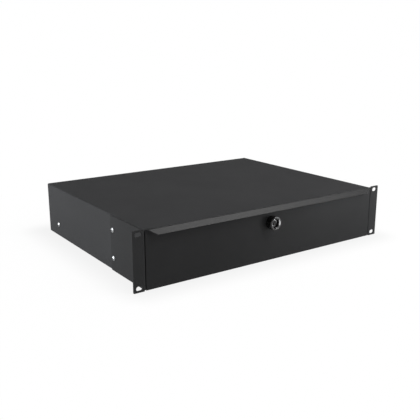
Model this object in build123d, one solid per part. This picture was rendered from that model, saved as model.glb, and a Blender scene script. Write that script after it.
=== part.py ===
from build123d import *

import os
from math import cos, hypot, radians, tan

# Lockable 2U rack drawer for a keyboard, with a folded steel case, ball bearing slides and a cam lock.
# Millimetres. X runs to the right as seen from the front, Y into the rack, Z up. The origin is the centre
# of the four rack slots, on the rear face of the ears.

# Rack panel and its slots
PANEL_WIDTH = 482.6
PANEL_HEIGHT = 88.1
SLOT_INSET_X = 8.75
SLOT_INSET_Z = 5.95
SLOT_PITCH_X = PANEL_WIDTH - 2 * SLOT_INSET_X
SLOT_PITCH_Z = PANEL_HEIGHT - 2 * SLOT_INSET_Z
SLOT_LENGTH = 10.0
SLOT_WIDTH = 6.6

# Ear brackets
EAR_SHEET = 2.0
EAR_BEND = 0.5
EAR_REACH = 19.3
EAR_LEG_LENGTH = 98.0
EAR_LEG_TRIM_BOTTOM = 1.3
EAR_LEG_TRIM_TOP = 2.1
EAR_CORNER = 1.0

# Case of folded sheet
CASE_TOP_GAP = 1.1
CASE_WIDTH = PANEL_WIDTH - 2 * EAR_REACH
CASE_HEIGHT = PANEL_HEIGHT - CASE_TOP_GAP
CASE_DEPTH = 348.0
CASE_SHEET = 1.5
CASE_BEND = 0.5
BOTTOM_RETURN = 14.0
FRONT_FLANGE_DROP = 11.0
FRONT_NOTCH_WIDTH = 15.0
FRONT_NOTCH_DEPTH = 2.0
REAR_FLANGE = 12.0
BASE_INSET = 1.0
CASE_CABLE_WIDTH = 120.0
CASE_CABLE_HEIGHT = 34.0

# Rubber edging of the cable openings
EDGING_LIP = 2.5
EDGING_WALL = 1.2
CABLE_CORNER = 8.0
CABLE_DROP = 28.0

# Ball bearing slides: three members of pressed strip
SLIDE_HEIGHT = 35.0
SLIDE_THICKNESS = 12.7
SLIDE_SHEET = 1.2
SLIDE_BEND = 0.6
SLIDE_RISE = 21.5
SLIDE_START = 16.0
SLIDE_BACK_GAP = 32.0
SLIDE_LENGTH = CASE_DEPTH - SLIDE_START - SLIDE_BACK_GAP
MIDDLE_SETBACK = 2.0
MIDDLE_BACK_GAP = 6.0
MIDDLE_LENGTH = SLIDE_LENGTH - MIDDLE_SETBACK - MIDDLE_BACK_GAP
INNER_BACK_GAP = 8.0
INNER_LENGTH = SLIDE_LENGTH - INNER_BACK_GAP
MIDDLE_SLOT_LENGTH = 24.0
MIDDLE_SLOT_WIDTH = 8.0
MIDDLE_SLOT_INSET = 40.0
BALL_RADIUS = 1.6
RACE_CLEARANCE = 0.15
RACE_ANGLE = 50.0
BALLS_PER_ROW = 4
CAGE_SHEET = 0.5
CAGE_GAP = 0.25
CAGE_END = 10.0
CAGE_RIM = 0.6
MIDDLE_STEP = 2.2
OUTER_BALL_DEPTH = 5.4
INNER_BALL_DEPTH = 9.2
OUTER_FLANGE_DEPTH = 9.5
MIDDLE_FLANGE_DEPTH = 11.3
INNER_FLANGE_START = 6.6
INNER_CAGE_DEPTH = 4.0
OUTER_CAGE_PLAY = 6.0
INNER_CAGE_PLAY = 8.0
STOP_TAB_REACH = 8.6
STOP_TAB_SETBACK = 4.0
STOP_TAB_LOW = -3.0
STOP_TAB_HIGH = 0.6
BUMPER_LENGTH = 5.0
BUMPER_HEIGHT = 18.0
BUMPER_DEPTH = 5.0
BUMPER_GAP = 0.3

# Drawer travel and release lever
TRAVEL_SHORTFALL = 20.0
DRAWER_TRAVEL = SLIDE_LENGTH - TRAVEL_SHORTFALL
LEVER_ARM = 34.5
LEVER_ARM_WIDTH = 3.6
LEVER_THICKNESS = 3.5
LEVER_BOSS_RADIUS = 4.0
LEVER_NOSE = 3.0
LEVER_NOSE_DROP = 3.4
LEVER_CATCH_GAP = 0.5
LEVER_WEB_GAP = 0.7
LEVER_PIN_RADIUS = 1.5
LEVER_PIN_HEAD_RADIUS = 2.8
LEVER_PIN_HEAD = 0.7
LEVER_PIN_PLAY = 0.3
PIN_CLEARANCE = 0.1

# Drawer tray and front
TRAY_SHEET = 1.2
TRAY_BEND = 1.0
TRAY_BACK_GAP = 20.0
TRAY_RISE = 4.5
TRAY_TOP_GAP = 4.0
TRAY_RIM_RISE = CASE_HEIGHT - FRONT_FLANGE_DROP - TRAY_TOP_GAP
TRAY_RIM_WIDTH = 9.0
TRAY_LOCK_NOTCH_WIDTH = 34.0
TRAY_CABLE_WIDTH = 90.0
TRAY_CABLE_HEIGHT = 26.0
FRONT_SHEET = 1.5
FRONT_BEND = 0.6
FRONT_SIDE_GAP = 0.4
FRONT_RISE = 0.6
LIP_TOP_GAP = 0.4
LIP_TOP_RISE = PANEL_HEIGHT - LIP_TOP_GAP
LIP_REACH = 8.0
LIP_ANGLE = 50.0
LIP_MITRE = 15.6

# Lock
LOCK_TOP_GAP = 14.5
LOCK_RISE = CASE_HEIGHT - FRONT_FLANGE_DROP - LOCK_TOP_GAP
LOCK_HEAD_RADIUS = 10.75
LOCK_HEAD_LENGTH = 11.5
LOCK_HEAD_CHAMFER = 1.4
LOCK_RECESS_RADIUS = 7.0
LOCK_RECESS_DEPTH = 4.5
LOCK_RECESS_CHAMFER = 0.6
LOCK_BARREL_RADIUS = 9.2
LOCK_BARREL_FLATS = 16.0
LOCK_BARREL_LENGTH = 18.4
PLUG_RADIUS = 5.3
PLUG_RISE = 1.2
PLUG_CLEARANCE = 0.08
KEYWAY_WIDTH = 1.5
KEYWAY_HEIGHT = 7.0
KEYWAY_DEPTH = 10.0
LOCK_NUT_FLATS = 24.0
LOCK_NUT_LENGTH = 5.0
CAM_GAP = 0.6
CAM_SHEET = 2.0
CAM_REACH = 21.5
CAM_WIDTH = 14.0
CAM_SQUARE = 7.0
CAM_SCREW_LENGTH = 10.0
STRIKE_GAP = 0.5
STRIKE_LENGTH = 40.0
STRIKE_LEG = 17.0
STRIKE_SHEET = 1.5
STRIKE_DROP = 9.5

# Screws and nuts
SCREW_RADIUS = 2.0
SCREW_CLEARANCE = 0.2
SCREW_END = 1.0
THREAD_CLEARANCE = 0.05
PAN_HEAD_RADIUS = 3.8
PAN_HEAD_HEIGHT = 2.4
PAN_HEAD_RIM = 0.8
CROSS_SPAN = 4.0
CROSS_WIDTH = 1.0
CROSS_DEPTH = 1.3
NUT_FLATS = 7.0
NUT_LENGTH = 3.2
NUT_FLANGE_RADIUS = 5.0
NUT_FLANGE_LENGTH = 1.0
BRACKET_SCREW_INSET = 8.0
BRACKET_SCREW_DROP = 22.0
REAR_SCREW_INSET = 11.0
TRAY_SCREW_FRONT_INSET = 24.0
TRAY_SCREW_PITCH = 110.0
TRAY_SCREW_BACK_INSET = 28.0
STUD_INSET = 57.8
STUD_LOW_RISE = 18.0
STUD_RIM_GAP = 14.0
STUD_LENGTH = 9.5

# Levels and faces that the pieces share
BOTTOM = -PANEL_HEIGHT / 2
TOP = BOTTOM + CASE_HEIGHT
FACE_Y = -EAR_SHEET
CASE_SIDE = CASE_WIDTH / 2
WALL_INNER = CASE_SIDE - CASE_SHEET
COVER_UNDERSIDE = TOP - CASE_SHEET
SLIDE_Z = BOTTOM + SLIDE_RISE
LOCK_Z = BOTTOM + LOCK_RISE
FRONT_BACK_Y = FACE_Y + FRONT_SHEET
TRAY_SIDE = WALL_INNER - SLIDE_THICKNESS
TRAY_MOUTH = TRAY_SIDE - TRAY_RIM_WIDTH
TRAY_FLOOR = BOTTOM + TRAY_RISE
TRAY_RIM = BOTTOM + TRAY_RIM_RISE
TRAY_BACK_Y = CASE_DEPTH - TRAY_BACK_GAP
BRACKET_SCREW_Y = EAR_LEG_LENGTH - BRACKET_SCREW_INSET
BRACKET_SCREW_Z = TOP - BRACKET_SCREW_DROP
REAR_SCREW_Y = SLIDE_START + SLIDE_LENGTH - REAR_SCREW_INSET
TRAY_SCREW_FRONT = SLIDE_START + TRAY_SCREW_FRONT_INSET
TRAY_SCREW_BACK = SLIDE_START + INNER_LENGTH - TRAY_SCREW_BACK_INSET
TRAY_SCREW_YS = (TRAY_SCREW_FRONT, TRAY_SCREW_FRONT + TRAY_SCREW_PITCH, TRAY_SCREW_BACK)
BASE_TOP = BOTTOM + 2 * CASE_SHEET
CABLE_Z = TRAY_RIM - CABLE_DROP
MIDDLE_START = SLIDE_START + MIDDLE_SETBACK
STOP_TAB_BACK = MIDDLE_START + STOP_TAB_SETBACK
LEVER_NOSE_Y = STOP_TAB_BACK + LEVER_CATCH_GAP + DRAWER_TRAVEL / 2
LEVER_Y = LEVER_NOSE_Y + LEVER_ARM
LEVER_X = -WALL_INNER + SLIDE_THICKNESS - SLIDE_SHEET - LEVER_WEB_GAP - LEVER_THICKNESS
BARREL_END_Y = FACE_Y + LOCK_BARREL_LENGTH
CAM_Y = BARREL_END_Y + CAM_GAP
PLUG_FRONT_Y = FACE_Y - LOCK_HEAD_LENGTH + LOCK_RECESS_DEPTH - PLUG_RISE
BRACKET_SCREW_PLACES = [(BRACKET_SCREW_Y, SLIDE_Z), (BRACKET_SCREW_Y, BRACKET_SCREW_Z)]
SIDE_SCREW_PLACES = BRACKET_SCREW_PLACES + [(REAR_SCREW_Y, SLIDE_Z)]
STUD_X = TRAY_SIDE - STUD_INSET
STUD_ZS = (BOTTOM + STUD_LOW_RISE, TRAY_RIM - STUD_RIM_GAP)
STUD_PLACES = [(x, z) for x in (-STUD_X, STUD_X) for z in STUD_ZS]

# Ball tracks, as heights above and below the slide's centre line
RACE_RADIUS = BALL_RADIUS + RACE_CLEARANCE
RACE_BACK_RADIUS = RACE_RADIUS + SLIDE_SHEET
RACE_DEPTH = RACE_RADIUS * cos(radians(RACE_ANGLE))
OUTER_BALL_RISE = SLIDE_HEIGHT / 2 - RACE_BACK_RADIUS
OUTER_FLANGE = OUTER_BALL_RISE + RACE_DEPTH + SLIDE_SHEET
MIDDLE_FLANGE = OUTER_BALL_RISE - RACE_DEPTH
INNER_BALL_RISE = MIDDLE_FLANGE - SLIDE_SHEET - RACE_DEPTH
INNER_FLANGE = INNER_BALL_RISE - RACE_DEPTH

# Ball cages: half as long as the travel, and each member moves them a quarter of it
CAGE_LENGTH = DRAWER_TRAVEL / 2
CAGE_TRAVEL = DRAWER_TRAVEL / 4
BALL_PITCH = (CAGE_LENGTH - 2 * CAGE_END) / (BALLS_PER_ROW - 1)
OUTER_CAGE_START = SLIDE_START + OUTER_CAGE_PLAY + CAGE_TRAVEL
INNER_CAGE_START = MIDDLE_START + INNER_CAGE_PLAY + CAGE_TRAVEL


def along_x(profile, left, right):
    """Extrude a profile drawn in Y and Z from x = left to x = right."""
    return extrude(Plane.YZ.offset(left) * profile, right - left)


def along_y(profile, front, back):
    """Extrude a profile drawn in X and Z from y = front to y = back."""
    return extrude(Plane.XZ.offset(-back) * profile, back - front)


def along_z(profile, bottom, top):
    """Extrude a profile drawn in X and Y from z = bottom to z = top."""
    return extrude(Plane.XY.offset(bottom) * profile, top - bottom)


def block(x_span, y_span, z_span):
    """Box between three pairs of coordinates."""
    sizes = [high - low for low, high in (x_span, y_span, z_span)]
    centre = [(low + high) / 2 for low, high in (x_span, y_span, z_span)]
    return Pos(*centre) * Box(*sizes)


def rod_x(radius, left, right, y, z):
    """Cylinder along X."""
    return along_x(Pos(y, z) * Circle(radius), left, right)


def rod_y(radius, front, back, x, z):
    """Cylinder along Y."""
    return along_y(Pos(x, z) * Circle(radius), front, back)


def other_side(shape):
    """The same piece on the opposite side of the drawer."""
    return mirror(shape, about=Plane.YZ)


def group(solids):
    """Several loose solids of one kind, kept separate."""
    return Compound(children=[solid for shape in solids for solid in shape.solids()])


def folded_strip(points, thickness, bend):
    """Section of sheet folded along a path of points; the sheet lies to the left of the path."""
    ways = []
    for (x0, y0), (x1, y1) in zip(points, points[1:]):
        length = hypot(x1 - x0, y1 - y0)
        ways.append(((x1 - x0) / length, (y1 - y0) / length))
    normals = [(-dy, dx) for dx, dy in ways]
    far_side = [(points[0][0] + thickness * normals[0][0], points[0][1] + thickness * normals[0][1])]
    near_radii = []
    far_radii = []
    for corner, way, next_way, n, m in zip(points[1:-1], ways, ways[1:], normals, normals[1:]):
        share = thickness / (1 + n[0] * m[0] + n[1] * m[1])
        far_side.append((corner[0] + share * (n[0] + m[0]), corner[1] + share * (n[1] + m[1])))
        turns_left = way[0] * next_way[1] - way[1] * next_way[0] > 0
        near_radii.append(bend + thickness if turns_left else bend)
        far_radii.append(bend if turns_left else bend + thickness)
    end, last = points[-1], normals[-1]
    far_side.append((end[0] + thickness * last[0], end[1] + thickness * last[1]))
    near = FilletPolyline(*points, radius=near_radii)
    far = FilletPolyline(*far_side, radius=far_radii)
    caps = [Line(points[0], far_side[0]), Line(end, far_side[-1])]
    return make_face(near.edges() + far.edges() + caps)


def rounded_plate(width, height, corner, x, z):
    """Rounded rectangle drawn in X and Z about a centre."""
    return Pos(x, z) * RectangleRounded(width, height, corner)


def hexagon(flats):
    """Hexagon by its width across flats."""
    return RegularPolygon(radius=flats / 2, side_count=6, major_radius=False)


def pan_screw(shank_length):
    """Cross recess screw: its domed head rises along +Z from the XY plane, its shank goes down."""
    outline = make_face([
        Line((0, -shank_length), (SCREW_RADIUS, -shank_length)),
        Line((SCREW_RADIUS, -shank_length), (SCREW_RADIUS, 0)),
        Line((SCREW_RADIUS, 0), (PAN_HEAD_RADIUS, 0)),
        Line((PAN_HEAD_RADIUS, 0), (PAN_HEAD_RADIUS, PAN_HEAD_RIM)),
        TangentArc((0, PAN_HEAD_HEIGHT), (PAN_HEAD_RADIUS, PAN_HEAD_RIM), tangent=(1, 0)),
        Line((0, PAN_HEAD_HEIGHT), (0, -shank_length)),
    ])
    recess = Rectangle(CROSS_SPAN, CROSS_WIDTH) + Rectangle(CROSS_WIDTH, CROSS_SPAN)
    return revolve(Plane.XZ * outline, Axis.Z) - along_z(
        recess, PAN_HEAD_HEIGHT - CROSS_DEPTH, PAN_HEAD_HEIGHT
    )


def case_shell():
    """Top and both sides folded from one sheet, with returns below and a down flange at the front."""
    profile = folded_strip(
        [
            (CASE_SIDE - BOTTOM_RETURN, BOTTOM),
            (CASE_SIDE, BOTTOM),
            (CASE_SIDE, TOP),
            (-CASE_SIDE, TOP),
            (-CASE_SIDE, BOTTOM),
            (-CASE_SIDE + BOTTOM_RETURN, BOTTOM),
        ],
        CASE_SHEET,
        CASE_BEND,
    )
    shell = along_y(profile, 0, CASE_DEPTH)
    flat_top = CASE_SIDE - CASE_SHEET - CASE_BEND
    shell -= block((-flat_top, flat_top), (0, FRONT_NOTCH_DEPTH), (COVER_UNDERSIDE, TOP))
    flange = folded_strip(
        [(2 * FRONT_NOTCH_DEPTH, TOP), (0, TOP), (0, TOP - FRONT_FLANGE_DROP)], CASE_SHEET, CASE_BEND
    )
    flange_end = CASE_SIDE - FRONT_NOTCH_WIDTH
    shell += along_x(flange, -flange_end, flange_end)
    for y, z in SIDE_SCREW_PLACES:
        shell -= rod_x(SCREW_RADIUS + SCREW_CLEARANCE, -CASE_SIDE, CASE_SIDE, y, z)
    return shell


def base_plate():
    """Floor of the case, welded on the shell's returns."""
    side = WALL_INNER - BASE_INSET
    return block((-side, side), (BASE_INSET, CASE_DEPTH), (BOTTOM + CASE_SHEET, BASE_TOP))


def rear_panel():
    """Back of the case with a cable opening; its side flanges are welded inside the shell."""
    front = CASE_DEPTH - REAR_FLANGE
    profile = folded_strip(
        [(WALL_INNER, front), (WALL_INNER, CASE_DEPTH), (-WALL_INNER, CASE_DEPTH), (-WALL_INNER, front)],
        CASE_SHEET,
        CASE_BEND,
    )
    panel = along_z(profile, BASE_TOP, COVER_UNDERSIDE - CASE_BEND)
    opening = rounded_plate(CASE_CABLE_WIDTH, CASE_CABLE_HEIGHT, CABLE_CORNER, 0, CABLE_Z)
    return panel - along_y(opening, CASE_DEPTH - CASE_SHEET, CASE_DEPTH)


def cable_edging(width, height, front, back):
    """Rubber U section that grips the rim of a cable opening."""
    outer_width, outer_height = width + 2 * EDGING_LIP, height + 2 * EDGING_LIP
    outer = rounded_plate(outer_width, outer_height, CABLE_CORNER + EDGING_LIP, 0, CABLE_Z)
    rim = rounded_plate(width, height, CABLE_CORNER, 0, CABLE_Z)
    inner_width, inner_height = width - 2 * EDGING_WALL, height - 2 * EDGING_WALL
    inner = rounded_plate(inner_width, inner_height, CABLE_CORNER - EDGING_WALL, 0, CABLE_Z)
    ring = along_y(outer - inner, front - EDGING_WALL, back + EDGING_WALL)
    return ring - along_y(outer - rim, front, back)


def ear_bracket():
    """Right ear: a slotted flange, and a leg outside the shell that its screws hold."""
    profile = folded_strip(
        [(CASE_SIDE, EAR_LEG_LENGTH), (CASE_SIDE, FACE_Y), (PANEL_WIDTH / 2, FACE_Y)], EAR_SHEET, EAR_BEND
    )
    top = BOTTOM + PANEL_HEIGHT
    ear = along_z(profile, BOTTOM, top)
    flange_start = CASE_SIDE + EAR_SHEET + EAR_BEND
    for low, high in (
        (BOTTOM, BOTTOM + EAR_LEG_TRIM_BOTTOM),
        (top - EAR_LEG_TRIM_TOP, top),
    ):
        ear -= block((CASE_SIDE, flange_start), (FACE_Y, EAR_LEG_LENGTH), (low, high))
    ear = fillet(ear.edges().filter_by(Axis.Y).group_by(Axis.X)[-1], EAR_CORNER)
    slot = SlotOverall(SLOT_LENGTH, SLOT_WIDTH)
    for z in (-SLOT_PITCH_Z / 2, SLOT_PITCH_Z / 2):
        ear -= along_y(Pos(SLOT_PITCH_X / 2, z) * slot, FACE_Y, 0)
    for y, z in BRACKET_SCREW_PLACES:
        ear -= rod_x(SCREW_RADIUS + SCREW_CLEARANCE, CASE_SIDE, CASE_SIDE + EAR_SHEET, y, z)
    return ear


def side_screws():
    """Three left side screws: two hold the ear's leg, and the low pair also holds the slide."""
    seats = {
        (BRACKET_SCREW_Y, SLIDE_Z): (EAR_SHEET, EAR_SHEET + CASE_SHEET + SLIDE_SHEET),
        (BRACKET_SCREW_Y, BRACKET_SCREW_Z): (EAR_SHEET, EAR_SHEET + CASE_SHEET + NUT_LENGTH + SCREW_END),
        (REAR_SCREW_Y, SLIDE_Z): (0, CASE_SHEET + SLIDE_SHEET),
    }
    return group(
        Location((-CASE_SIDE - stand_off, y, z), (0, -90, 0)) * pan_screw(length)
        for (y, z), (stand_off, length) in seats.items()
    )


def bracket_nut():
    """Left nut on the ear's upper screw, against the inside of the shell."""
    outline = hexagon(NUT_FLATS) - Circle(SCREW_RADIUS + THREAD_CLEARANCE)
    place = Pos(BRACKET_SCREW_Y, BRACKET_SCREW_Z)
    return along_x(place * outline, -WALL_INNER, -WALL_INNER + NUT_LENGTH)


def lock_strike():
    """Angle welded under the top cover; the lock's cam turns up behind it."""
    front = CAM_Y - STRIKE_GAP - STRIKE_SHEET
    profile = folded_strip(
        [
            (front + STRIKE_LEG, COVER_UNDERSIDE),
            (front, COVER_UNDERSIDE),
            (front, COVER_UNDERSIDE - STRIKE_DROP),
        ],
        STRIKE_SHEET,
        CASE_BEND,
    )
    return along_x(profile, -STRIKE_LENGTH / 2, STRIKE_LENGTH / 2)


def slide_section(profile, start, length):
    """Extrude a left slide section, drawn as depth from the case wall and height, along the drawer."""
    return along_y(Pos(-WALL_INNER, SLIDE_Z) * profile, start, start + length)


def press_races(profile, depth, rise, outward, flange_face):
    """Press a ball groove into the upper and lower flange of a slide section."""
    for sign in (-1, 1):
        ball = Pos(depth, sign * rise)
        beyond = rise + RACE_BACK_RADIUS if outward else rise
        low, high = (flange_face, beyond) if outward else (rise - RACE_BACK_RADIUS, flange_face)
        band = Pos(depth, sign * (low + high) / 2) * Rectangle(2 * RACE_BACK_RADIUS, high - low)
        profile = profile + (ball * Circle(RACE_BACK_RADIUS) & band) - ball * Circle(RACE_RADIUS)
    return profile


def slide_outer():
    """Left case member: a C section with a ball groove in each flange."""
    profile = folded_strip(
        [
            (OUTER_FLANGE_DEPTH, OUTER_FLANGE),
            (0, OUTER_FLANGE),
            (0, -OUTER_FLANGE),
            (OUTER_FLANGE_DEPTH, -OUTER_FLANGE),
        ],
        SLIDE_SHEET,
        SLIDE_BEND,
    )
    profile = press_races(profile, OUTER_BALL_DEPTH, OUTER_BALL_RISE, True, OUTER_FLANGE - SLIDE_SHEET)
    member = slide_section(profile, SLIDE_START, SLIDE_LENGTH)
    for y in (BRACKET_SCREW_Y, REAR_SCREW_Y):
        hole = SCREW_RADIUS + THREAD_CLEARANCE
        member -= rod_x(hole, -WALL_INNER, -WALL_INNER + SLIDE_SHEET, y, SLIDE_Z)
    return member


def slide_bumper():
    """Left rubber block at the back of the case member, where the middle member comes to rest."""
    front = MIDDLE_START + MIDDLE_LENGTH + BUMPER_GAP
    near = -WALL_INNER + SLIDE_SHEET
    return block(
        (near, near + BUMPER_DEPTH),
        (front, front + BUMPER_LENGTH),
        (SLIDE_Z - BUMPER_HEIGHT / 2, SLIDE_Z + BUMPER_HEIGHT / 2),
    )


def slide_middle():
    """Left middle member: grooves for the outer and inner balls, and slots through its web."""
    profile = folded_strip(
        [
            (MIDDLE_FLANGE_DEPTH, MIDDLE_FLANGE),
            (MIDDLE_STEP, MIDDLE_FLANGE),
            (MIDDLE_STEP, -MIDDLE_FLANGE),
            (MIDDLE_FLANGE_DEPTH, -MIDDLE_FLANGE),
        ],
        SLIDE_SHEET,
        SLIDE_BEND,
    )
    profile = press_races(profile, OUTER_BALL_DEPTH, OUTER_BALL_RISE, False, MIDDLE_FLANGE)
    profile = press_races(profile, INNER_BALL_DEPTH, INNER_BALL_RISE, True, MIDDLE_FLANGE - SLIDE_SHEET)
    member = slide_section(profile, MIDDLE_START, MIDDLE_LENGTH)
    web = -WALL_INNER + MIDDLE_STEP
    slot = SlotOverall(MIDDLE_SLOT_LENGTH, MIDDLE_SLOT_WIDTH)
    for inset in (MIDDLE_SLOT_INSET, MIDDLE_LENGTH / 2, MIDDLE_LENGTH - MIDDLE_SLOT_INSET):
        member -= along_x(Pos(MIDDLE_START + inset, SLIDE_Z) * slot, web, web + SLIDE_SHEET)
    tab = block(
        (web, -WALL_INNER + STOP_TAB_REACH),
        (STOP_TAB_BACK - SLIDE_SHEET, STOP_TAB_BACK),
        (SLIDE_Z + STOP_TAB_LOW, SLIDE_Z + STOP_TAB_HIGH),
    )
    return member + tab


def slide_inner():
    """Left drawer member: a C section that faces the case, with grooves outside its flanges."""
    profile = folded_strip(
        [
            (INNER_FLANGE_START, -INNER_FLANGE),
            (SLIDE_THICKNESS, -INNER_FLANGE),
            (SLIDE_THICKNESS, INNER_FLANGE),
            (INNER_FLANGE_START, INNER_FLANGE),
        ],
        SLIDE_SHEET,
        SLIDE_BEND,
    )
    profile = press_races(profile, INNER_BALL_DEPTH, INNER_BALL_RISE, False, INNER_FLANGE)
    member = slide_section(profile, SLIDE_START, INNER_LENGTH)
    web = -WALL_INNER + SLIDE_THICKNESS
    for y in TRAY_SCREW_YS:
        member -= rod_x(SCREW_RADIUS + THREAD_CLEARANCE, web - SLIDE_SHEET, web, y, SLIDE_Z)
    return member - rod_x(LEVER_PIN_RADIUS, web - SLIDE_SHEET, web, LEVER_Y, SLIDE_Z)


def ball_places(cage_start, depth, rise):
    """Centres of the balls in the lower and upper row of a left cage."""
    return [
        (-WALL_INNER + depth, cage_start + CAGE_END + number * BALL_PITCH, SLIDE_Z + sign * rise)
        for sign in (-1, 1)
        for number in range(BALLS_PER_ROW)
    ]


def ball_cage(cage_start, web_depth, ball_depth, rise):
    """Left ball cage: a thin C strip with a round window for each ball."""
    face = rise + CAGE_SHEET / 2
    end = ball_depth + RACE_RADIUS + CAGE_RIM
    profile = folded_strip(
        [(end, face), (web_depth, face), (web_depth, -face), (end, -face)], CAGE_SHEET, CAGE_SHEET
    )
    cage = slide_section(profile, cage_start, CAGE_LENGTH)
    for x, y, z in ball_places(cage_start, ball_depth, rise):
        cage -= along_z(Pos(x, y) * Circle(RACE_RADIUS), z - CAGE_SHEET, z + CAGE_SHEET)
    return cage


def balls(cage_start, depth, rise):
    """Steel balls of one left cage."""
    return group(Pos(*place) * Sphere(BALL_RADIUS) for place in ball_places(cage_start, depth, rise))


def release_lever():
    """Left lever inside the drawer member; its nose catches the middle member's tab at full travel."""
    outline = make_face(Polyline(
        (LEVER_NOSE_Y, -LEVER_NOSE_DROP),
        (LEVER_NOSE_Y + LEVER_NOSE, -LEVER_NOSE_DROP),
        (LEVER_NOSE_Y + 2 * LEVER_NOSE, -LEVER_ARM_WIDTH / 2),
        (LEVER_Y, -LEVER_ARM_WIDTH / 2),
        (LEVER_Y, LEVER_ARM_WIDTH / 2),
        (LEVER_NOSE_Y, LEVER_ARM_WIDTH / 2),
        close=True,
    ))
    boss = Pos(LEVER_Y, 0)
    outline = outline + boss * Circle(LEVER_BOSS_RADIUS) - boss * Circle(LEVER_PIN_RADIUS + PIN_CLEARANCE)
    return along_x(Pos(0, SLIDE_Z) * outline, LEVER_X, LEVER_X + LEVER_THICKNESS)


def lever_pin():
    """Left rivet that the release lever turns on, set in the drawer member's web."""
    web = -WALL_INNER + SLIDE_THICKNESS
    head = LEVER_X - LEVER_PIN_PLAY
    pin = rod_x(LEVER_PIN_RADIUS, head, web, LEVER_Y, SLIDE_Z)
    return pin + rod_x(LEVER_PIN_HEAD_RADIUS, head - LEVER_PIN_HEAD, head, LEVER_Y, SLIDE_Z)


def drawer_tray():
    """Floor and both sides of the tray folded from one sheet, with inward rims."""
    profile = folded_strip(
        [
            (-TRAY_MOUTH, TRAY_RIM),
            (-TRAY_SIDE, TRAY_RIM),
            (-TRAY_SIDE, TRAY_FLOOR),
            (TRAY_SIDE, TRAY_FLOOR),
            (TRAY_SIDE, TRAY_RIM),
            (TRAY_MOUTH, TRAY_RIM),
        ],
        TRAY_SHEET,
        TRAY_BEND,
    )
    tray = along_y(profile, FRONT_BACK_Y, TRAY_BACK_Y)
    for y in TRAY_SCREW_YS:
        tray -= rod_x(SCREW_RADIUS + SCREW_CLEARANCE, -TRAY_SIDE, TRAY_SIDE, y, SLIDE_Z)
    return tray


def tray_end_wall(face, inward):
    """Wall with a rim that closes one end of the folded tray; inward is the way to the tray's middle."""
    profile = folded_strip(
        [(TRAY_RIM_WIDTH, TRAY_RIM), (0, TRAY_RIM), (0, TRAY_FLOOR + TRAY_SHEET)], TRAY_SHEET, TRAY_BEND
    )
    inside = TRAY_SIDE - TRAY_SHEET
    wall = along_x(profile, -inside, inside)
    under_rim = TRAY_RIM - TRAY_SHEET
    seat = FilletPolyline(
        (-inside, TRAY_FLOOR + TRAY_SHEET),
        (inside, TRAY_FLOOR + TRAY_SHEET),
        (inside, under_rim),
        (TRAY_MOUTH, under_rim),
        (TRAY_MOUTH, TRAY_RIM),
        (-TRAY_MOUTH, TRAY_RIM),
        (-TRAY_MOUTH, under_rim),
        (-inside, under_rim),
        radius=[TRAY_BEND, TRAY_BEND, TRAY_BEND, 0, 0, 0, 0, TRAY_BEND],
        close=True,
    )
    wall &= along_y(make_face(seat.edges()), 0, TRAY_RIM_WIDTH)
    return Pos(0, face) * (wall if inward > 0 else mirror(wall, about=Plane.XZ))


def tray_front_wall():
    """Wall behind the drawer front, notched round the lock."""
    wall = tray_end_wall(FRONT_BACK_Y, 1)
    notch = TRAY_LOCK_NOTCH_WIDTH / 2
    rim_back = FRONT_BACK_Y + TRAY_RIM_WIDTH
    wall -= block((-notch, notch), (FRONT_BACK_Y, rim_back), (LOCK_Z - notch, TRAY_RIM))
    for x, z in STUD_PLACES:
        wall -= rod_y(SCREW_RADIUS + SCREW_CLEARANCE, FRONT_BACK_Y, FRONT_BACK_Y + TRAY_SHEET, x, z)
    return wall


def tray_back_wall():
    """Back wall with the cable opening."""
    opening = rounded_plate(TRAY_CABLE_WIDTH, TRAY_CABLE_HEIGHT, CABLE_CORNER, 0, CABLE_Z)
    return tray_end_wall(TRAY_BACK_Y, -1) - along_y(opening, TRAY_BACK_Y - TRAY_SHEET, TRAY_BACK_Y)


def tray_screws():
    """Left screws through the tray's side into the drawer member, heads inside the tray."""
    length = TRAY_SHEET + SLIDE_SHEET
    seat = -TRAY_SIDE + TRAY_SHEET
    return group(Location((seat, y, SLIDE_Z), (0, 90, 0)) * pan_screw(length) for y in TRAY_SCREW_YS)


def drawer_front():
    """Front sheet whose top edge is folded forward and down as a pull lip, with four weld studs."""
    outer_bend = FRONT_BEND + FRONT_SHEET
    half_corner = radians((90 - LIP_ANGLE) / 2)
    fold_z = BOTTOM + LIP_TOP_RISE - outer_bend + outer_bend / tan(half_corner)
    lip_y = FACE_Y - LIP_REACH
    lip_z = fold_z - (FRONT_BACK_Y - lip_y) * tan(radians(LIP_ANGLE))
    profile = folded_strip(
        [(FRONT_BACK_Y, BOTTOM + FRONT_RISE), (FRONT_BACK_Y, fold_z), (lip_y, lip_z)],
        FRONT_SHEET,
        FRONT_BEND,
    )
    side = CASE_SIDE - FRONT_SIDE_GAP
    front = along_x(profile, -side, side)
    for sign in (-1, 1):
        mitre = make_face(Polyline(
            (sign * side, FACE_Y),
            (sign * (side - LIP_MITRE), lip_y),
            (sign * (side - LIP_MITRE), 2 * lip_y),
            (sign * 2 * side, 2 * lip_y),
            (sign * 2 * side, FACE_Y),
            close=True,
        ))
        front -= along_z(mitre, LOCK_Z, BOTTOM + PANEL_HEIGHT)
    barrel = Circle(LOCK_BARREL_RADIUS + SCREW_CLEARANCE)
    flats = Rectangle(LOCK_BARREL_FLATS + 2 * SCREW_CLEARANCE, 4 * LOCK_BARREL_RADIUS)
    front -= along_y(Pos(0, LOCK_Z) * (barrel & flats), FACE_Y, FRONT_BACK_Y)
    for x, z in STUD_PLACES:
        front += rod_y(SCREW_RADIUS, FRONT_BACK_Y, FRONT_BACK_Y + STUD_LENGTH, x, z)
    return front


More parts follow.
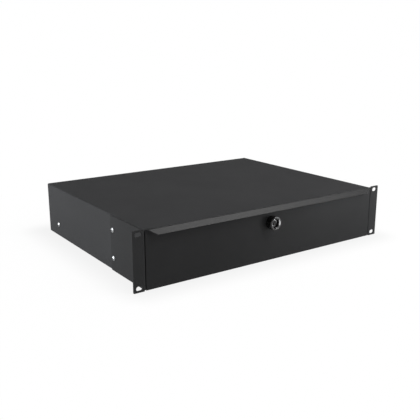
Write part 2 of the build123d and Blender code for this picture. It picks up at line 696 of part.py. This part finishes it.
def front_nuts():
    """Flanged nuts on the front's studs, against the inside of the tray."""
    seat = FRONT_BACK_Y + TRAY_SHEET
    bore = Circle(SCREW_RADIUS + THREAD_CLEARANCE)
    nuts = []
    for x, z in STUD_PLACES:
        place = Pos(x, z)
        flange = along_y(place * (Circle(NUT_FLANGE_RADIUS) - bore), seat, seat + NUT_FLANGE_LENGTH)
        nuts.append(flange + along_y(place * (hexagon(NUT_FLATS) - bore), seat, seat + NUT_LENGTH))
    return group(nuts)


def lock_housing():
    """Round head with a recess for the plug, and a barrel with two flats behind the front."""
    head_y = FACE_Y - LOCK_HEAD_LENGTH
    recess_y = head_y + LOCK_RECESS_DEPTH
    bore = PLUG_RADIUS + PLUG_CLEARANCE
    outline = make_face(Polyline(
        (bore, recess_y),
        (LOCK_RECESS_RADIUS, recess_y),
        (LOCK_RECESS_RADIUS, head_y + LOCK_RECESS_CHAMFER),
        (LOCK_RECESS_RADIUS + LOCK_RECESS_CHAMFER, head_y),
        (LOCK_HEAD_RADIUS - LOCK_HEAD_CHAMFER, head_y),
        (LOCK_HEAD_RADIUS, head_y + LOCK_HEAD_CHAMFER),
        (LOCK_HEAD_RADIUS, FACE_Y),
        (LOCK_BARREL_RADIUS, FACE_Y),
        (LOCK_BARREL_RADIUS, BARREL_END_Y),
        (bore, BARREL_END_Y),
        close=True,
    ))
    housing = Pos(0, 0, LOCK_Z) * revolve(outline, Axis.Y)
    flat, wide = LOCK_BARREL_FLATS / 2, 2 * LOCK_BARREL_RADIUS
    for low, high in ((-wide, -flat), (flat, wide)):
        housing -= block((low, high), (FACE_Y, BARREL_END_Y), (LOCK_Z - wide, LOCK_Z + wide))
    return housing


def lock_nut():
    """Hexagon nut that clamps the lock to the drawer front."""
    outline = hexagon(LOCK_NUT_FLATS) - Circle(LOCK_BARREL_RADIUS + THREAD_CLEARANCE)
    return along_y(Pos(0, LOCK_Z) * outline, FRONT_BACK_Y, FRONT_BACK_Y + LOCK_NUT_LENGTH)


def lock_plug():
    """Turning plug with a keyway in front and a square drive for the cam behind."""
    front = PLUG_FRONT_Y
    plug = rod_y(PLUG_RADIUS, front, CAM_Y, 0, LOCK_Z)
    plug += along_y(Pos(0, LOCK_Z) * Rectangle(CAM_SQUARE, CAM_SQUARE), CAM_Y, CAM_Y + CAM_SHEET)
    plug -= along_y(Pos(0, LOCK_Z) * Rectangle(KEYWAY_WIDTH, KEYWAY_HEIGHT), front, front + KEYWAY_DEPTH)
    end = CAM_Y + CAM_SHEET
    return plug - rod_y(SCREW_RADIUS + THREAD_CLEARANCE, end - CAM_SCREW_LENGTH, end, 0, LOCK_Z)


def lock_cam():
    """Flat cam, square holed, pointing to the side while the lock is open."""
    plate = Circle(CAM_REACH) & Pos(CAM_REACH / 2, 0) * Rectangle(CAM_REACH, CAM_WIDTH)
    hole = CAM_SQUARE + 2 * THREAD_CLEARANCE
    plate = plate + Circle(CAM_WIDTH / 2) - Rectangle(hole, hole)
    return along_y(Pos(0, LOCK_Z) * plate, CAM_Y, CAM_Y + CAM_SHEET)


def cam_screw():
    """Screw that holds the cam on the plug."""
    return Location((0, CAM_Y + CAM_SHEET, LOCK_Z), (-90, 0, 0)) * pan_screw(CAM_SCREW_LENGTH)


def pair(name, left):
    """A left piece and its mirror image as two nodes."""
    return {f"{name}_left": left, f"{name}_right": other_side(left)}


def build_pieces():
    """Every piece of the drawer by its node's name."""
    outer_row = (OUTER_CAGE_START, OUTER_BALL_DEPTH, OUTER_BALL_RISE)
    inner_row = (INNER_CAGE_START, INNER_BALL_DEPTH, INNER_BALL_RISE)
    outer_web = SLIDE_SHEET + CAGE_GAP
    return {
        "case_shell": case_shell(),
        "base_plate": base_plate(),
        "rear_panel": rear_panel(),
        "case_cable_edging": cable_edging(
            CASE_CABLE_WIDTH, CASE_CABLE_HEIGHT, CASE_DEPTH - CASE_SHEET, CASE_DEPTH
        ),
        **pair("ear_bracket", other_side(ear_bracket())),
        **pair("side_screws", side_screws()),
        "bracket_nuts": group([bracket_nut(), other_side(bracket_nut())]),
        "lock_strike": lock_strike(),
        **pair("slide_outer", slide_outer()),
        "slide_bumpers": group([slide_bumper(), other_side(slide_bumper())]),
        **pair("slide_middle", slide_middle()),
        **pair("ball_cage_outer", ball_cage(OUTER_CAGE_START, outer_web, *outer_row[1:])),
        **pair("balls_outer", balls(*outer_row)),
        **pair("ball_cage_inner", ball_cage(INNER_CAGE_START, INNER_CAGE_DEPTH, *inner_row[1:])),
        **pair("balls_inner", balls(*inner_row)),
        **pair("slide_inner", slide_inner()),
        **pair("release_lever", release_lever()),
        "lever_pins": group([lever_pin(), other_side(lever_pin())]),
        "drawer_tray": drawer_tray(),
        "tray_front_wall": tray_front_wall(),
        "tray_back_wall": tray_back_wall(),
        "tray_cable_edging": cable_edging(
            TRAY_CABLE_WIDTH, TRAY_CABLE_HEIGHT, TRAY_BACK_Y - TRAY_SHEET, TRAY_BACK_Y
        ),
        **pair("tray_screws", tray_screws()),
        "drawer_front": drawer_front(),
        "front_nuts": front_nuts(),
        "lock_housing": lock_housing(),
        "lock_nut": lock_nut(),
        "lock_plug": lock_plug(),
        "lock_cam": lock_cam(),
        "cam_screw": cam_screw(),
    }


os.makedirs("parts", exist_ok=True)
for node, shape in build_pieces().items():
    export_step(shape, f"parts/{node}.step")
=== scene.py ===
from math import cos, hypot, pi, radians, sin

import bmesh
import bpy
from mathutils import Matrix, Vector


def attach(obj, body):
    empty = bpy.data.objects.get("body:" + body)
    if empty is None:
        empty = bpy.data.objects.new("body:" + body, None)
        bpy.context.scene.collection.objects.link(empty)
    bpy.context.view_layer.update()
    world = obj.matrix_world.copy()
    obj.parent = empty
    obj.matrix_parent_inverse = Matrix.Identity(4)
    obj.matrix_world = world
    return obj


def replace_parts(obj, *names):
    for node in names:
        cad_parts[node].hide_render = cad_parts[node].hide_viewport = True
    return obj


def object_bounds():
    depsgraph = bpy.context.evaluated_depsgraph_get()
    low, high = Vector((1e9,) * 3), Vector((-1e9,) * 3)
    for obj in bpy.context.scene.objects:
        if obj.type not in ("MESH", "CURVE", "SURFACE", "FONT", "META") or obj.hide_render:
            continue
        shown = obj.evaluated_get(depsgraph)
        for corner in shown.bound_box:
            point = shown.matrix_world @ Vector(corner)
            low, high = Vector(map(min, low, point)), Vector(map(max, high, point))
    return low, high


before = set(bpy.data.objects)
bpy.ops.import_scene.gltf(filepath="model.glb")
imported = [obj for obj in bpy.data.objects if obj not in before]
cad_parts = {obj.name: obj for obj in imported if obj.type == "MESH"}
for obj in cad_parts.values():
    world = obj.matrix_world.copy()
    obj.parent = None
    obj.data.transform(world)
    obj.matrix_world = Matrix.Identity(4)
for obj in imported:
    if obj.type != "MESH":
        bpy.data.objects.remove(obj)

cad_box = [list(corner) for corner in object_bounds()]

# Lock, in metres: its axis runs along Y, its face is the frontmost point
LOCK_Z = 0.01745
LOCK_FACE_Y = -0.0135
PANEL_Y = -0.002
HEAD_RADIUS = 0.01075
HEAD_ROUNDING = 0.0014
RIM_STEP = 18
RECESS_RADIUS = 0.0073
RECESS_FLOOR_Y = -0.0073
MOUTH_WIDTH = 0.0010
MOUTH_DEPTH = 0.0017
MOUTH_PLATE = 0.00015
BORE_RADIUS = 0.00538
ROUND_STEPS = 64

# Threaded barrel behind the drawer front
BARREL_RADIUS = 0.0092
BARREL_FLAT = 0.008
BARREL_END_Y = 0.0164
THREAD_START_Y = 0.0049
THREAD_TURNS = 11
THREAD_PITCH = 0.001
THREAD_HALF_WIDTH = THREAD_PITCH * 0.45
THREAD_RISE = 0.00025
THREAD_ROOT = 0.00005

# Key plug
PLUG_FRONT_Y = -0.0102
PLUG_SET_BACK = 0.0019
PLUG_RADIUS = 0.0053
PLUG_EDGE = 0.00015
PLUG_EDGE_STEPS = 3
PLUG_RING = 0.0010
PLUG_RING_BLEND = 0.0001

# Sheet edges
CUT_EDGE = 0.00025
CUT_EDGE_STEPS = 2
SHARP_ANGLE = radians(40)
FLAT_ANGLE = radians(1)
MERGE_GAP = 1e-6

# Range of a noise that carries most of its pattern, and the grain of rolled strip
NOISE_LOW = 0.3
NOISE_HIGH = 0.7
STRIP_GRAIN = (1.0, 0.04, 1.0)

# Studio: surroundings, floor, lamp tones and camera
WHITE = (1.0, 1.0, 1.0, 1.0)
FLOOR_PAINT = (0.9, 0.9, 0.9, 1.0)
NEUTRAL_WHITE = (1.0, 1.0, 0.995)
COOL_WHITE = (0.955, 0.98, 1.0)
WORLD_FILL = 0.12
CEILING_START = 0.3
CEILING_END = 0.55
CEILING_GLOW = 0.15
FLOOR_HALF_SIZE = 6.0
# Painted contact shadow round the case: how far it reaches, and the floor glow's strength at the case
PAINTED_SHADOW_REACH = 0.063
PAINTED_SHADOW_GLOW = 0.90
SHADOW_REACH = 0.30
SHADOW_SHARE = 0.97
CAMERA_PLACE = (-0.6114, -0.7092, 0.28595)
CAMERA_TURN = (radians(75.0), 0.0, radians(-35.03))
CAMERA_LENS = 53.9
CAMERA_SENSOR = 36.0
CAMERA_NEAR = 0.01


def surface(name):
    """Blank finish: its node tree, its shader and the piece's own coordinates."""
    material = bpy.data.materials.new(name)
    material.use_nodes = True
    tree = material.node_tree
    shader = tree.nodes["Principled BSDF"]
    place = tree.nodes.new("ShaderNodeTexCoord").outputs["Object"]
    return material, tree, shader, place


def speckle(tree, place, scale, detail=3.0, stretch=None):
    """Noise of a given fineness; stretch lengthens it along one way of the piece."""
    if stretch is not None:
        mapping = tree.nodes.new("ShaderNodeMapping")
        mapping.inputs["Scale"].default_value = stretch
        tree.links.new(place, mapping.inputs["Vector"])
        place = mapping.outputs["Vector"]
    noise = tree.nodes.new("ShaderNodeTexNoise")
    noise.inputs["Scale"].default_value = scale
    noise.inputs["Detail"].default_value = detail
    tree.links.new(place, noise.inputs["Vector"])
    return noise.outputs["Fac"]


def tint(tree, shader, amount, low, high):
    """Vary the colour between two shades."""
    ramp = tree.nodes.new("ShaderNodeValToRGB")
    ramp.color_ramp.elements[0].position = NOISE_LOW
    ramp.color_ramp.elements[0].color = (*low, 1.0)
    ramp.color_ramp.elements[1].position = NOISE_HIGH
    ramp.color_ramp.elements[1].color = (*high, 1.0)
    tree.links.new(amount, ramp.inputs["Fac"])
    tree.links.new(ramp.outputs["Color"], shader.inputs["Base Color"])


def vary_gloss(tree, shader, amount, smooth, rough):
    """Vary the roughness between two values."""
    spread = tree.nodes.new("ShaderNodeMapRange")
    spread.inputs["From Min"].default_value = NOISE_LOW
    spread.inputs["From Max"].default_value = NOISE_HIGH
    spread.inputs["To Min"].default_value = smooth
    spread.inputs["To Max"].default_value = rough
    tree.links.new(amount, spread.inputs["Value"])
    tree.links.new(spread.outputs["Result"], shader.inputs["Roughness"])


def relief(tree, shader, amount, strength, depth):
    """Small height differences in the surface."""
    bump = tree.nodes.new("ShaderNodeBump")
    bump.inputs["Strength"].default_value = strength
    bump.inputs["Distance"].default_value = depth
    tree.links.new(amount, bump.inputs["Height"])
    tree.links.new(bump.outputs["Normal"], shader.inputs["Normal"])


def powder_coat(name, low, high, smooth, rough, specular):
    """Fine textured black powder paint on steel sheet."""
    material, tree, shader, place = surface(name)
    shader.inputs["Specular IOR Level"].default_value = specular
    patches = speckle(tree, place, scale=14.0)
    sheen = speckle(tree, place, scale=700.0)
    pimples = speckle(tree, place, scale=1100.0, detail=2.0)
    tint(tree, shader, patches, low, high)
    vary_gloss(tree, shader, sheen, smooth, rough)
    relief(tree, shader, pimples, strength=0.35, depth=0.00005)
    return material


def plated_steel(name, low, high, smooth, rough, stretch=None):
    """Zinc or nickel plate; a stretched grain follows the rolled strip."""
    material, tree, shader, place = surface(name)
    shader.inputs["Metallic"].default_value = 1.0
    patches = speckle(tree, place, scale=180.0, stretch=stretch)
    grain = speckle(tree, place, scale=600.0, detail=4.0, stretch=stretch)
    tint(tree, shader, patches, low, high)
    vary_gloss(tree, shader, grain, smooth, rough)
    relief(tree, shader, grain, strength=0.15, depth=0.00002)
    return material


def moulded_black(name, low, high, smooth, rough, specular):
    """Black rubber, plastic or lacquer with a faint skin texture."""
    material, tree, shader, place = surface(name)
    shader.inputs["Specular IOR Level"].default_value = specular
    patches = speckle(tree, place, scale=220.0)
    skin = speckle(tree, place, scale=1500.0)
    tint(tree, shader, patches, low, high)
    vary_gloss(tree, shader, skin, smooth, rough)
    relief(tree, shader, skin, strength=0.1, depth=0.00002)
    return material


def plug_finish(name, face, ring, smooth, rough):
    """Dark face of the plug with a polished nickel ring round it."""
    material, tree, shader, place = surface(name)
    centred = tree.nodes.new("ShaderNodeMapping")
    centred.inputs["Location"].default_value = (0.0, 0.0, -LOCK_Z)
    centred.inputs["Scale"].default_value = (1.0, 0.0, 1.0)
    tree.links.new(place, centred.inputs["Vector"])
    radius = tree.nodes.new("ShaderNodeVectorMath")
    radius.operation = "LENGTH"
    tree.links.new(centred.outputs["Vector"], radius.inputs[0])
    edge = tree.nodes.new("ShaderNodeMapRange")
    edge.inputs["From Min"].default_value = PLUG_RADIUS - PLUG_RING - PLUG_RING_BLEND
    edge.inputs["From Max"].default_value = PLUG_RADIUS - PLUG_RING
    tree.links.new(radius.outputs["Value"], edge.inputs["Value"])
    tree.links.new(edge.outputs["Result"], shader.inputs["Metallic"])
    tint(tree, shader, edge.outputs["Result"], face, ring)
    grain = speckle(tree, place, scale=900.0)
    vary_gloss(tree, shader, grain, smooth, rough)
    relief(tree, shader, grain, strength=0.1, depth=0.00002)
    return material


# One black powder coat in three copies: the ears' and the front's are darker than the case's, with
# shade painted in for how light falls on them
CASE_COAT = powder_coat(
    "case_powder_coat", low=(0.030, 0.030, 0.031), high=(0.034, 0.034, 0.035),
    smooth=0.72, rough=0.80, specular=0.07,
)
# Painted shade: the ears' copy of the coat, darker than the case's
EAR_COAT_PAINTED_SHADE = powder_coat(
    "ear_powder_coat_painted_shade", low=(0.0205, 0.0205, 0.021), high=(0.0235, 0.0235, 0.024),
    smooth=0.62, rough=0.70, specular=0.06,
)
# Painted shade: the front's copy of the coat, darker than the case's; its gloss and specular are its
# own
FRONT_COAT_PAINTED_SHADE = powder_coat(
    "front_powder_coat_painted_shade", low=(0.0108, 0.0108, 0.0112), high=(0.0126, 0.0126, 0.0130),
    smooth=0.36, rough=0.43, specular=0.12,
)
SCREW_ZINC = plated_steel(
    "screw_zinc", low=(0.25, 0.255, 0.26), high=(0.33, 0.335, 0.34), smooth=0.34, rough=0.44
)
SLIDE_ZINC = plated_steel(
    "slide_zinc", low=(0.42, 0.435, 0.45), high=(0.54, 0.555, 0.57),
    smooth=0.28, rough=0.44, stretch=STRIP_GRAIN,
)
BALL_CHROME = plated_steel(
    "ball_chrome", low=(0.78, 0.78, 0.79), high=(0.84, 0.84, 0.85), smooth=0.04, rough=0.09
)
EDGING_RUBBER = moulded_black(
    "edging_rubber", low=(0.012, 0.012, 0.012), high=(0.018, 0.018, 0.018),
    smooth=0.68, rough=0.80, specular=0.3,
)
LEVER_PLASTIC = moulded_black(
    "lever_plastic", low=(0.014, 0.014, 0.015), high=(0.020, 0.020, 0.021),
    smooth=0.34, rough=0.44, specular=0.5,
)
LOCK_LACQUER = moulded_black(
    "lock_lacquer", low=(0.006, 0.006, 0.006), high=(0.009, 0.009, 0.009),
    smooth=0.16, rough=0.24, specular=0.5,
)
LOCK_NICKEL = plated_steel(
    "lock_nickel", low=(0.30, 0.30, 0.31), high=(0.40, 0.40, 0.41), smooth=0.14, rough=0.24
)
RIM_NICKEL = plated_steel(
    "rim_nickel", low=(0.56, 0.56, 0.57), high=(0.63, 0.63, 0.64), smooth=0.05, rough=0.09
)
PLUG_FINISH = plug_finish(
    "plug_finish", face=(0.010, 0.010, 0.010), ring=(0.52, 0.52, 0.53), smooth=0.16, rough=0.26
)

CASE_SHEETS = ("case_shell", "base_plate", "rear_panel", "lock_strike")
EAR_SHEETS = ("ear_bracket_left", "ear_bracket_right")
TRAY_SHEETS = ("drawer_tray", "tray_front_wall", "tray_back_wall")

NODE_FINISHES = {
    "case_cable_edging": EDGING_RUBBER,
    "tray_cable_edging": EDGING_RUBBER,
    "slide_bumpers": EDGING_RUBBER,
    "side_screws_left": SCREW_ZINC,
    "side_screws_right": SCREW_ZINC,
    "tray_screws_left": SCREW_ZINC,
    "tray_screws_right": SCREW_ZINC,
    "bracket_nuts": SCREW_ZINC,
    "front_nuts": SCREW_ZINC,
    "cam_screw": SCREW_ZINC,
    "lever_pins": SCREW_ZINC,
    "release_lever_left": LEVER_PLASTIC,
    "release_lever_right": LEVER_PLASTIC,
    "lock_nut": LOCK_NICKEL,
    "lock_cam": SCREW_ZINC,
}
for side in ("left", "right"):
    for member in ("slide_outer", "slide_middle", "slide_inner", "ball_cage_outer", "ball_cage_inner"):
        NODE_FINISHES[f"{member}_{side}"] = SLIDE_ZINC
    for row in ("balls_outer", "balls_inner"):
        NODE_FINISHES[f"{row}_{side}"] = BALL_CHROME


def piece_from(shape, name, body, material):
    """Turn a finished bmesh into a piece that rides on a body."""
    mesh = bpy.data.meshes.new(name)
    shape.to_mesh(mesh)
    shape.free()
    mesh.materials.append(material)
    piece = bpy.data.objects.new(name, mesh)
    bpy.context.scene.collection.objects.link(piece)
    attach(piece, body)
    return piece


def coated_sheet(node, body, material):
    """Copy of a sheet piece with its facets joined and its cut edges slightly rounded."""
    shape = bmesh.new()
    shape.from_mesh(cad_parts[node].data)
    bmesh.ops.remove_doubles(shape, verts=shape.verts, dist=MERGE_GAP)
    bmesh.ops.dissolve_limit(shape, angle_limit=FLAT_ANGLE, verts=shape.verts, edges=shape.edges)
    for face in shape.faces:
        face.smooth = True
        face.material_index = 0
    piece = piece_from(shape, f"{node}_coated", body, material)
    rounding = piece.modifiers.new("cut_edges", "BEVEL")
    rounding.width = CUT_EDGE
    rounding.segments = CUT_EDGE_STEPS
    rounding.limit_method = "ANGLE"
    rounding.angle_limit = SHARP_ANGLE
    shading = piece.modifiers.new("flat_shading", "WEIGHTED_NORMAL")
    shading.weight = 100
    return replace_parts(piece, node)


def spin_round_lock(shape, outline, turns=1, pitch=0.0):
    """Sweep a closed outline of radius and Y round the lock's axis; a pitch makes it a thread."""
    corners = [shape.verts.new((radius, y, LOCK_Z)) for radius, y in outline]
    edges = [shape.edges.new(pair) for pair in zip(corners, corners[1:] + corners[:1])]
    bmesh.ops.spin(
        shape,
        geom=corners + edges,
        cent=(0.0, 0.0, LOCK_Z),
        axis=(0.0, 1.0, 0.0),
        dvec=(0.0, pitch / ROUND_STEPS, 0.0),
        angle=2 * pi * turns,
        steps=ROUND_STEPS * turns,
        use_merge=not pitch,
        use_duplicate=False,
    )


def cut_barrel_flats(shape):
    """Cut a turned shape off at the barrel's two flats and close the cuts."""
    for side in (-1, 1):
        bmesh.ops.bisect_plane(
            shape,
            geom=shape.verts[:] + shape.edges[:] + shape.faces[:],
            plane_co=(side * BARREL_FLAT, 0.0, 0.0),
            plane_no=(side, 0.0, 0.0),
            clear_outer=True,
        )
    open_edges = [edge for edge in shape.edges if edge.is_boundary]
    bmesh.ops.holes_fill(shape, edges=open_edges, sides=0)


def shade_round(shape):
    """Faces outwards and smooth."""
    bmesh.ops.recalc_face_normals(shape, faces=shape.faces)
    for face in shape.faces:
        face.smooth = True
    return shape


def lock_head():
    """Black round head with a rounded rim and a wide mouth, and the barrel behind it."""
    shape = bmesh.new()
    spin_round_lock(shape, [
        (BORE_RADIUS, PANEL_Y),
        (BARREL_RADIUS, PANEL_Y),
        (BARREL_RADIUS, BARREL_END_Y),
        (BORE_RADIUS, BARREL_END_Y),
    ])
    cut_barrel_flats(shape)
    rim = [
        (
            HEAD_RADIUS - HEAD_ROUNDING * (1 - sin(radians(angle))),
            LOCK_FACE_Y + HEAD_ROUNDING * (1 - cos(radians(angle))),
        )
        for angle in range(0, 91, RIM_STEP)
    ]
    spin_round_lock(shape, [
        (BORE_RADIUS, RECESS_FLOOR_Y),
        (RECESS_RADIUS, RECESS_FLOOR_Y),
        (RECESS_RADIUS, LOCK_FACE_Y + MOUTH_DEPTH),
        (RECESS_RADIUS + MOUTH_WIDTH, LOCK_FACE_Y),
        *rim,
        (HEAD_RADIUS, PANEL_Y),
        (BORE_RADIUS, PANEL_Y),
    ])
    piece = piece_from(shade_round(shape), "lock_head", "drawer", LOCK_LACQUER)
    piece.data.set_sharp_from_angle(angle=SHARP_ANGLE)
    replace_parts(piece, "lock_housing")


def lock_mouth():
    """Polished plate on the slope of the lock's mouth."""
    inner_y = LOCK_FACE_Y + MOUTH_DEPTH
    outer = RECESS_RADIUS + MOUTH_WIDTH
    shape = bmesh.new()
    spin_round_lock(shape, [
        (RECESS_RADIUS, inner_y),
        (RECESS_RADIUS - MOUTH_PLATE, inner_y),
        (outer - MOUTH_PLATE, LOCK_FACE_Y),
        (outer, LOCK_FACE_Y),
    ])
    piece = piece_from(shade_round(shape), "lock_mouth", "drawer", RIM_NICKEL)
    piece.data.set_sharp_from_angle(angle=SHARP_ANGLE)


def barrel_thread():
    """Thread behind the clamping nut, cut away at the barrel's two flats."""
    root = BARREL_RADIUS - THREAD_ROOT
    shape = bmesh.new()
    spin_round_lock(
        shape,
        [
            (root, THREAD_START_Y - THREAD_HALF_WIDTH),
            (BARREL_RADIUS + THREAD_RISE, THREAD_START_Y),
            (root, THREAD_START_Y + THREAD_HALF_WIDTH),
        ],
        THREAD_TURNS,
        THREAD_PITCH,
    )
    cut_barrel_flats(shape)
    piece_from(shade_round(shape), "lock_barrel_thread", "drawer", LOCK_NICKEL)


def key_plug():
    """Plug set back in the deep mouth, with a bevelled edge round its keyway face."""
    shape = bmesh.new()
    shape.from_mesh(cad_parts["lock_plug"].data)
    bmesh.ops.remove_doubles(shape, verts=shape.verts, dist=MERGE_GAP)
    face = [corner for corner in shape.verts if abs(corner.co.y - PLUG_FRONT_Y) < MERGE_GAP]
    bmesh.ops.translate(shape, verts=face, vec=(0.0, PLUG_SET_BACK, 0.0))
    bmesh.ops.dissolve_limit(shape, angle_limit=FLAT_ANGLE, verts=shape.verts, edges=shape.edges)
    rim = [
        edge for edge in shape.edges
        if all(
            abs(corner.co.y - PLUG_FRONT_Y - PLUG_SET_BACK) < MERGE_GAP
            and abs(hypot(corner.co.x, corner.co.z - LOCK_Z) - PLUG_RADIUS) < 10 * MERGE_GAP
            for corner in edge.verts
        )
    ]
    bmesh.ops.bevel(
        shape,
        geom=rim,
        offset=PLUG_EDGE,
        affect="EDGES",
        segments=PLUG_EDGE_STEPS,
        profile=0.5,
        material=-1,
    )
    for face in shape.faces:
        face.smooth = True
        face.material_index = 0
    piece = piece_from(shape, "key_plug", "lock", PLUG_FINISH)
    piece.data.set_sharp_from_angle(angle=SHARP_ANGLE)
    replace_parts(piece, "lock_plug")


def dress_nodes():
    """Give every CAD piece its finish, and every sheet piece its rounded edges."""
    for node in CASE_SHEETS:
        coated_sheet(node, "case", CASE_COAT)
    # Ears get the darker copy of the coat, with shade painted in
    for node in EAR_SHEETS:
        coated_sheet(node, "case", EAR_COAT_PAINTED_SHADE)
    for node in TRAY_SHEETS:
        coated_sheet(node, "drawer", CASE_COAT)
    # Drawer front gets the darker copy of the coat, with shade painted in
    coated_sheet("drawer_front", "drawer", FRONT_COAT_PAINTED_SHADE)
    for node, material in NODE_FINISHES.items():
        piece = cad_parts[node]
        if not piece.material_slots:
            piece.data.materials.append(material)
        for holder in piece.material_slots:
            holder.material = material


def seen_directly(tree):
    """1 where the camera, a reflection or a clear body looks at this surface, else 0."""
    path = tree.nodes.new("ShaderNodeLightPath")
    total = path.outputs["Is Camera Ray"]
    for ray in ("Is Glossy Ray", "Is Transmission Ray"):
        either = tree.nodes.new("ShaderNodeMath")
        either.operation = "MAXIMUM"
        tree.links.new(total, either.inputs[0])
        tree.links.new(path.outputs[ray], either.inputs[1])
        total = either.outputs["Value"]
    return total


def studio_world():
    """White surroundings under a dim ceiling, and a soft fill for the light they give."""
    world = bpy.data.worlds.new("studio")
    bpy.context.scene.world = world
    world.use_nodes = True
    tree = world.node_tree
    tree.nodes.clear()
    seen = seen_directly(tree)
    lighting = tree.nodes.new("ShaderNodeBackground")
    lighting.inputs["Color"].default_value = WHITE
    lighting.inputs["Strength"].default_value = WORLD_FILL
    shown = tree.nodes.new("ShaderNodeBackground")
    shown.inputs["Color"].default_value = WHITE
    direction = tree.nodes.new("ShaderNodeTexCoord").outputs["Generated"]
    way = tree.nodes.new("ShaderNodeSeparateXYZ")
    tree.links.new(direction, way.inputs["Vector"])
    ceiling = tree.nodes.new("ShaderNodeMapRange")
    ceiling.inputs["From Min"].default_value = CEILING_START
    ceiling.inputs["From Max"].default_value = CEILING_END
    ceiling.inputs["To Min"].default_value = 1.0
    ceiling.inputs["To Max"].default_value = CEILING_GLOW
    tree.links.new(way.outputs["Z"], ceiling.inputs["Value"])
    tree.links.new(ceiling.outputs["Result"], shown.inputs["Strength"])
    choice = tree.nodes.new("ShaderNodeMixShader")
    output = tree.nodes.new("ShaderNodeOutputWorld")
    tree.links.new(seen, choice.inputs["Fac"])
    tree.links.new(lighting.outputs["Background"], choice.inputs[1])
    tree.links.new(shown.outputs["Background"], choice.inputs[2])
    tree.links.new(choice.outputs["Shader"], output.inputs["Surface"])


def beside_case(tree, place):
    """Distance over the floor from the case's outline."""
    corners = [Vector(corner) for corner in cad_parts["case_shell"].bound_box]
    low, high = corners[0], corners[6]
    offset = place
    for operation, amount in (
        ("SUBTRACT", (low + high) / 2),
        ("ABSOLUTE", None),
        ("SUBTRACT", (high - low) / 2),
        ("MAXIMUM", Vector()),
    ):
        step = tree.nodes.new("ShaderNodeVectorMath")
        step.operation = operation
        if amount is not None:
            step.inputs[1].default_value = amount
        tree.links.new(offset, step.inputs[0])
        offset = step.outputs["Vector"]
    distance = tree.nodes.new("ShaderNodeVectorMath")
    distance.operation = "LENGTH"
    tree.links.new(offset, distance.inputs[0])
    return distance.outputs["Value"]


def fade_out(tree, distance, reach, near):
    """A value that rises softly from near, at the case, to 1 at a given reach."""
    fade = tree.nodes.new("ShaderNodeMapRange")
    fade.interpolation_type = "SMOOTHSTEP"
    fade.inputs["From Min"].default_value = 0.0
    fade.inputs["From Max"].default_value = reach
    fade.inputs["To Min"].default_value = near
    fade.inputs["To Max"].default_value = 1.0
    tree.links.new(distance, fade.inputs["Value"])
    return fade.outputs["Result"]


def studio_floor():
    """Pale floor: white where it is looked at, with a soft contact shadow painted into its glow round
    the case.
    """
    shape = bmesh.new()
    bmesh.ops.create_grid(shape, x_segments=1, y_segments=1, size=FLOOR_HALF_SIZE)
    bmesh.ops.translate(shape, verts=shape.verts, vec=(0.0, 0.0, cad_box[0][2]))
    mesh = bpy.data.meshes.new("studio_floor")
    shape.to_mesh(mesh)
    shape.free()
    floor = bpy.data.objects.new("studio_floor", mesh)
    bpy.context.scene.collection.objects.link(floor)

    material = bpy.data.materials.new("floor_white")
    material.use_nodes = True
    tree = material.node_tree
    tree.nodes.clear()
    paint = tree.nodes.new("ShaderNodeBsdfDiffuse")
    paint.inputs["Color"].default_value = FLOOR_PAINT
    glow = tree.nodes.new("ShaderNodeEmission")
    glow.inputs["Color"].default_value = WHITE
    place = tree.nodes.new("ShaderNodeTexCoord").outputs["Object"]
    distance = beside_case(tree, place)
    shade = fade_out(tree, distance, PAINTED_SHADOW_REACH, PAINTED_SHADOW_GLOW)
    share = fade_out(tree, distance, SHADOW_REACH, SHADOW_SHARE)
    # Painted shadow: the floor's glow dims towards the case's outline
    tree.links.new(shade, glow.inputs["Strength"])
    mixed = tree.nodes.new("ShaderNodeMath")
    mixed.operation = "MULTIPLY"
    tree.links.new(share, mixed.inputs[0])
    tree.links.new(seen_directly(tree), mixed.inputs[1])
    choice = tree.nodes.new("ShaderNodeMixShader")
    output = tree.nodes.new("ShaderNodeOutputMaterial")
    tree.links.new(mixed.outputs["Value"], choice.inputs["Fac"])
    tree.links.new(paint.outputs["BSDF"], choice.inputs[1])
    tree.links.new(glow.outputs["Emission"], choice.inputs[2])
    tree.links.new(choice.outputs["Shader"], output.inputs["Surface"])
    mesh.materials.append(material)


def soft_box(name, place, aim, width, height, watts, tone):
    """Large soft lamp that points at a spot."""
    lamp = bpy.data.lights.new(name, "AREA")
    lamp.shape = "RECTANGLE"
    lamp.size = width
    lamp.size_y = height
    lamp.energy = watts
    lamp.color = tone
    holder = bpy.data.objects.new(name, lamp)
    holder.visible_camera = False
    aiming = (Vector(aim) - Vector(place)).to_track_quat("-Z", "Y").to_matrix().to_4x4()
    holder.matrix_world = Matrix.Translation(place) @ aiming
    bpy.context.scene.collection.objects.link(holder)


def studio_camera():
    """Camera at the photograph's place and angle."""
    view = bpy.data.cameras.new("camera")
    view.lens = CAMERA_LENS
    view.sensor_width = CAMERA_SENSOR
    view.clip_start = CAMERA_NEAR
    holder = bpy.data.objects.new("camera", view)
    holder.location = CAMERA_PLACE
    holder.rotation_euler = CAMERA_TURN
    bpy.context.scene.collection.objects.link(holder)
    bpy.context.scene.camera = holder


dress_nodes()
lock_head()
lock_mouth()
barrel_thread()
key_plug()
studio_world()
studio_floor()
soft_box(
    "left_lamp", place=(-2.0, 1.1, 0.35), aim=(0.0, 0.15, 0.0),
    width=1.5, height=0.9, watts=65.0, tone=COOL_WHITE,
)
soft_box(
    "lip_lamp", place=(1.22, -1.15, 1.94), aim=(0.0, 0.0, 0.03),
    width=1.5, height=1.0, watts=67.0, tone=NEUTRAL_WHITE,
)
soft_box(
    "right_lamp", place=(0.52, -0.42, 0.12), aim=(0.26, 0.0, 0.0),
    width=0.2, height=0.34, watts=2.4, tone=COOL_WHITE,
)
studio_camera()
bpy.context.scene.view_settings.view_transform = "Standard"
